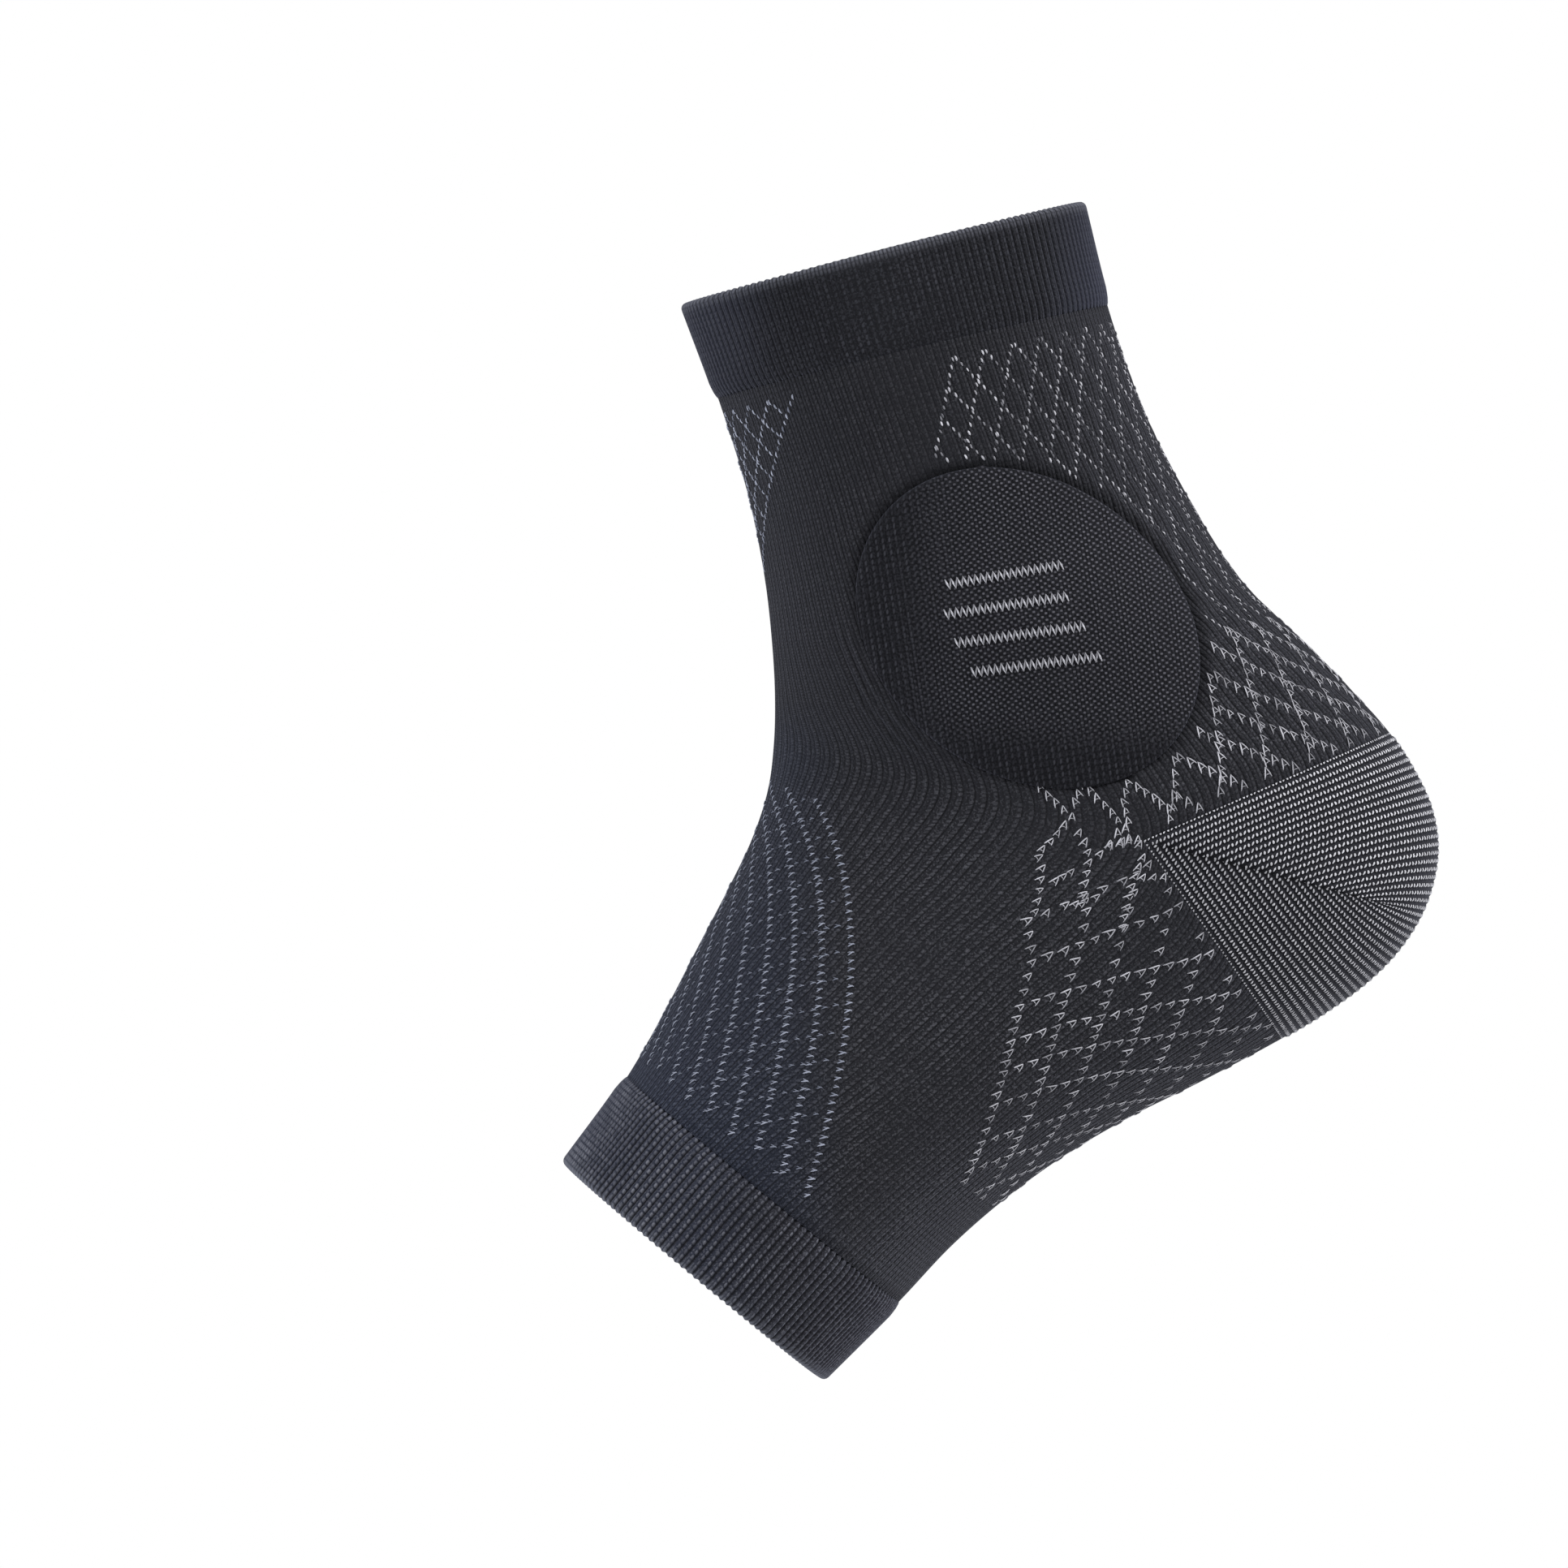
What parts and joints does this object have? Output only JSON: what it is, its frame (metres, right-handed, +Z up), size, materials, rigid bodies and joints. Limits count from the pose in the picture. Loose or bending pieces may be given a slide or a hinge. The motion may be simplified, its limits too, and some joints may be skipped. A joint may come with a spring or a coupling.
{
  "type": "compression sock",
  "caption": "Open-toed knitted ankle compression sock in its worn form, with ribbed cuffs, an oval pad over each ankle bone and a turned mottled heel",
  "frame": {"origin": "the centre of the ankle, midway between the two ankle pads, inside the open sock", "axes": "+Z runs up the leg, out of the leg opening; -X is the front, where the open toe end points forward and down at about 36 degrees; +X is the heel side; the left side faces -Y"},
  "size_m": [0.1835, 0.0854, 0.2124],
  "materials": {
    "charcoal_knit": "matt fine-gauge knit",
    "pad_knit": "matt bird's-eye mesh knit",
    "heel_knit": "grey and charcoal plaited knit",
    "blue_charcoal_knit": "matt ribbed knit"
  },
  "bodies": {
    "root": {"leg_cuff": "charcoal_knit", "sock_body": "charcoal_knit", "ankle_pad_left": "pad_knit", "ankle_pad_right": "pad_knit", "heel_pocket": "heel_knit", "foot_cuff": "blue_charcoal_knit"}
  },
  "joints": []
}
